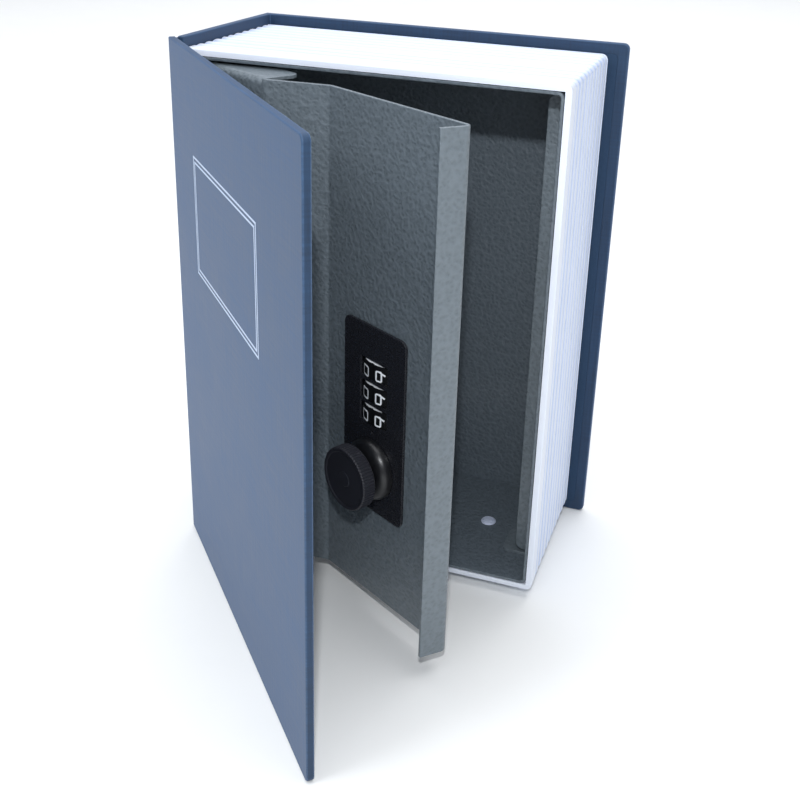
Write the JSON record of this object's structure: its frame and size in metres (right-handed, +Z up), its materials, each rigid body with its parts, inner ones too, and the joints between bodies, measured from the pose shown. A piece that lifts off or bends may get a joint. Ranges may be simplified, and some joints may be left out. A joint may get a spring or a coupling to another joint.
{
  "type": "book diversion safe",
  "caption": "Small steel safe hidden in a hollow book: hinged cloth cover, hinged steel door with number wheels and a knob that turns a latch lever.",
  "frame": {"origin": "middle of the back cover's lower edge, which the book stands on", "axes": "+Z up along the spine, +X from the spine to the fore-edge, +Y from the front cover to the back cover"},
  "size_m": [0.1349, 0.1625, 0.18],
  "materials": {
    "book_cloth": "woven book cloth, dyed blue and lightly coated",
    "grey_board": "pressed pulp board, uncoated",
    "endpaper": "smooth dyed paper",
    "page_plastic": "moulded, satin",
    "hammer_paint": "grey hammer finish stoving paint on sheet steel",
    "zinc_steel": "bright zinc plate",
    "aluminium": "plain, as formed",
    "black_paint": "semi-gloss black",
    "black_plastic": "moulded, satin",
    "spring_steel": "bright rolled strip",
    "brass": "turned, bright"
  },
  "bodies": {
    "safe": {"case_cloth": "book_cloth", "back_board": "grey_board", "spine_board": "grey_board", "back_endpaper": "endpaper", "page_shell": "page_plastic", "steel_box": "hammer_paint", "strike_bracket": "hammer_paint", "hinge_pin_foot": "zinc_steel", "hinge_pin_head": "zinc_steel", "floor_rivet_left": "aluminium", "floor_rivet_right": "aluminium", "ceiling_rivet_left": "aluminium", "ceiling_rivet_right": "aluminium"},
    "front_cover": {"front_cloth": "book_cloth", "front_board": "grey_board", "front_endpaper": "endpaper"},
    "steel_door": {"door_panel": "hammer_paint", "lock_faceplate": "black_paint", "lock_case": "black_plastic", "wheel_axle": "zinc_steel", "detent_spring": "spring_steel", "knob_collar": "black_paint", "case_screw_1": "zinc_steel", "case_screw_2": "zinc_steel", "case_screw_3": "zinc_steel", "case_screw_4": "zinc_steel"},
    "knob_and_lever": {"knob": "black_plastic", "spindle": "brass", "latch_lever": "zinc_steel", "lever_washer": "zinc_steel", "lever_nut": "zinc_steel"},
    "wheel_1": {"number_wheel_1": "black_plastic", "code_sleeve_1": "brass"},
    "wheel_2": {"number_wheel_2": "black_plastic", "code_sleeve_2": "brass"},
    "wheel_3": {"number_wheel_3": "black_plastic", "code_sleeve_3": "brass"}
  },
  "joints": [
    {"name": "cover_hinge", "type": "hinge", "parent": "safe", "child": "front_cover", "pos_m": [-0.0665, -0.06195, 0.09], "axis": [0, 0, -1], "range_deg": [-47.2, 125]},
    {"name": "door_hinge", "type": "hinge", "parent": "safe", "child": "steel_door", "pos_m": [-0.0563, -0.0563, 0.09], "axis": [0, 0, -1], "range_deg": [-30, 80]},
    {"name": "knob_turn", "type": "hinge", "parent": "steel_door", "child": "knob_and_lever", "pos_m": [0.01194, -0.0875, 0.056], "axis": [-0.5, -0.866, 0], "range_deg": [0, 90]},
    {"name": "wheel_1_spin", "type": "hinge", "parent": "steel_door", "child": "wheel_1", "pos_m": [0.01649, -0.07962, 0.0896], "axis": [0, 0, 1], "continuous": true},
    {"name": "wheel_2_spin", "type": "hinge", "parent": "steel_door", "child": "wheel_2", "pos_m": [0.01649, -0.07962, 0.08195], "axis": [0, 0, 1], "continuous": true},
    {"name": "wheel_3_spin", "type": "hinge", "parent": "steel_door", "child": "wheel_3", "pos_m": [0.01649, -0.07962, 0.0743], "axis": [0, 0, 1], "continuous": true}
  ],
  "couplings": [
    {"joint": "door_hinge", "follows": "cover_hinge", "ratio": 0.6355}
  ]
}
